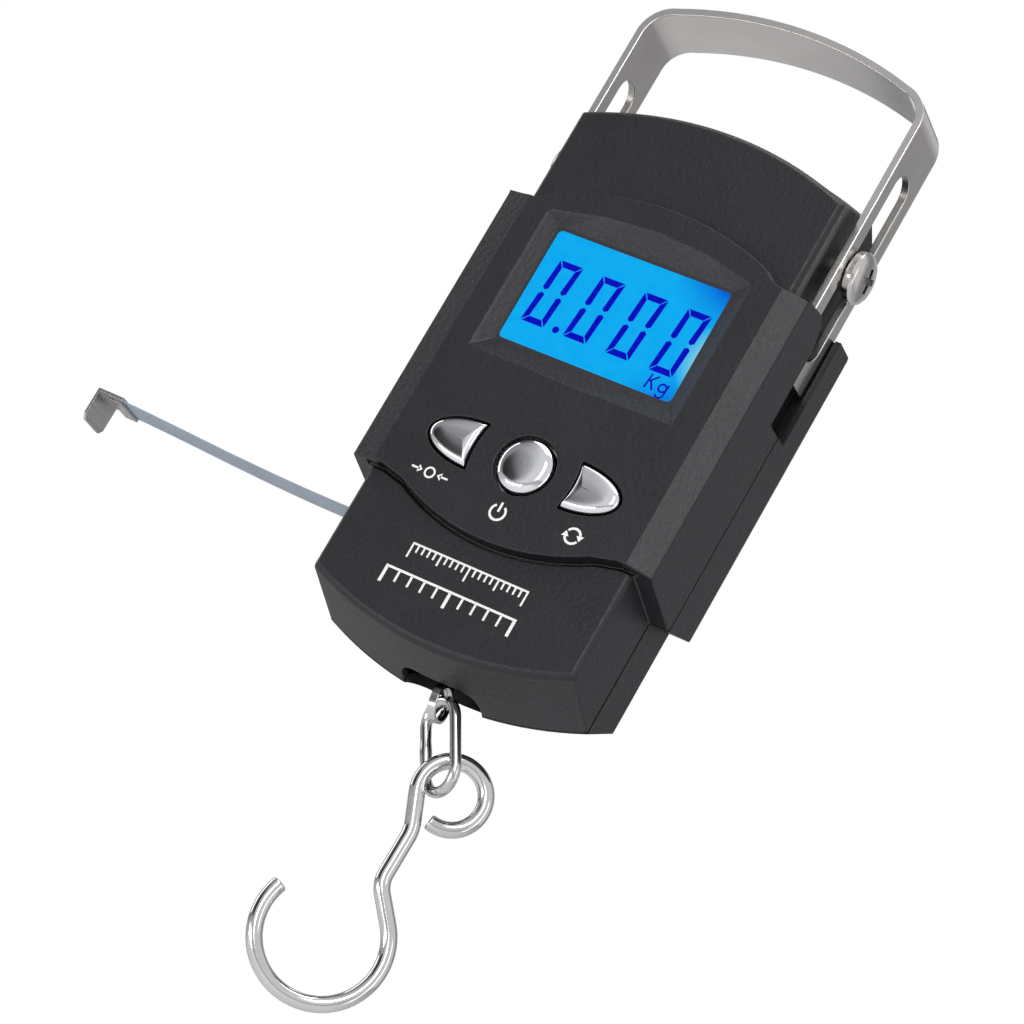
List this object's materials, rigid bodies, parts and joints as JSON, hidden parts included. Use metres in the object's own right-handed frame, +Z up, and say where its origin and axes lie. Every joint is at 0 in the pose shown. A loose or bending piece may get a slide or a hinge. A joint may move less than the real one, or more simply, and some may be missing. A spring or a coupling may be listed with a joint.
{
  "type": "digital hanging fish scale",
  "caption": "Hand-held hanging scale: black two-shell case with lit display and buttons, sliding steel handle, load hook on a link, and a pull-out tape.",
  "frame": {"origin": "middle of the underside of the handle's grip, where the hand or a hook carries the scale, at the middle of the case's depth", "axes": "+Z up along the case from the load hook to the handle, +Y from the display face to the back, +X to the right as one faces the display"},
  "size_m": [0.1464, 0.035, 0.2244],
  "materials": {
    "black_abs": "fine spark-textured black ABS",
    "lens": "clear gloss",
    "lcd_blue": "lit blue liquid-crystal display",
    "backlight_white": "milky light guide",
    "board_green": "solder mask",
    "epoxy_black": "epoxy blob",
    "button_chrome": "plated, polished",
    "grey_rubber": "moulded silicone",
    "handle_steel": "polished stainless strip",
    "bright_steel": "bright nickel plate",
    "zinc_steel": "zinc plate",
    "cell_aluminium": "milled",
    "gauge_amber": "polyimide film",
    "battery_jacket": "printed foil jacket",
    "spring_steel": "spring steel",
    "spool_white": "moulded acetal",
    "tape_grey": "blue-grey lacquer",
    "button_grey": "smooth dark ABS"
  },
  "bodies": {
    "case": {"front_shell": "black_abs", "rear_shell": "black_abs", "case_screws": "zinc_steel", "display_lens": "lens", "display_glass": "lcd_blue", "backlight": "backlight_white", "circuit_board": "board_green", "chip_cover": "epoxy_black", "board_screws": "zinc_steel", "button_pad": "grey_rubber", "handle_screws": "bright_steel", "handle_bushes": "zinc_steel", "load_bracket": "zinc_steel", "load_cell": "cell_aluminium", "cell_screws": "zinc_steel", "strain_gauges": "gauge_amber", "load_clevis": "bright_steel", "eye_pin": "bright_steel", "battery_left": "battery_jacket", "battery_right": "battery_jacket", "battery_springs": "spring_steel", "battery_plates": "spring_steel", "tape_axle": "zinc_steel", "return_spring": "spring_steel", "reel_plate": "zinc_steel", "reel_screws": "zinc_steel"},
    "handle": {"handle": "handle_steel"},
    "tare": {"tare_button": "button_chrome"},
    "power": {"power_button": "button_chrome"},
    "unit": {"unit_button": "button_chrome"},
    "eye": {"load_eye": "bright_steel"},
    "link": {"chain_link": "bright_steel"},
    "hook": {"hook": "bright_steel"},
    "cover": {"battery_cover": "black_abs"},
    "tape": {"tape_blade": "tape_grey", "tape_tab": "bright_steel"},
    "reel": {"tape_spool": "spool_white", "tape_coil": "tape_grey"},
    "release": {"release_button": "button_grey"}
  },
  "joints": [
    {"name": "handle_slide", "type": "slide", "parent": "case", "child": "handle", "axis": [0, 0, 1], "range_m": [-0.0195, 0.0158]},
    {"name": "tare_press", "type": "slide", "parent": "case", "child": "tare", "axis": [0, 1, 0], "range_m": [0, 0.0008], "stiffness_N_per_m": 400, "springref_m": -0.0004},
    {"name": "power_press", "type": "slide", "parent": "case", "child": "power", "axis": [0, 1, 0], "range_m": [0, 0.0008], "stiffness_N_per_m": 400, "springref_m": -0.0004},
    {"name": "unit_press", "type": "slide", "parent": "case", "child": "unit", "axis": [0, 1, 0], "range_m": [0, 0.0008], "stiffness_N_per_m": 400, "springref_m": -0.0004},
    {"name": "release_press", "type": "slide", "parent": "case", "child": "release", "axis": [0, -1, 0], "range_m": [0, 0.001], "stiffness_N_per_m": 400, "springref_m": -0.0004},
    {"name": "eye_swing", "type": "hinge", "parent": "case", "child": "eye", "pos_m": [0, 0, -0.1471], "axis": [0, 1, 0], "range_deg": [-6, 30]},
    {"name": "link_swing", "type": "hinge", "parent": "eye", "child": "link", "pos_m": [0.00151, 0, -0.15633], "axis": [0.9869, 0, 0.1611], "range_deg": [-40, 40]},
    {"name": "hook_swing", "type": "hinge", "parent": "link", "child": "hook", "pos_m": [0.01278, 0.0021, -0.1718], "axis": [-0.4695, 0.8829, 0], "range_deg": [-45, 60]},
    {"name": "cover_slide", "type": "slide", "parent": "case", "child": "cover", "axis": [0, 1, 0], "range_m": [0, 0.03]},
    {"name": "tape_pull", "type": "slide", "parent": "case", "child": "tape", "axis": [1, 0, 0], "range_m": [0, 0.066], "deforming": ["tape_blade"]},
    {"name": "reel_turn", "type": "hinge", "parent": "case", "child": "reel", "pos_m": [0, 0.0079, -0.115], "axis": [0, -1, 0], "range_deg": [0, 336.7]}
  ],
  "couplings": [
    {"joint": "reel_turn", "follows": "tape_pull", "rad_per_m": 87.719}
  ]
}
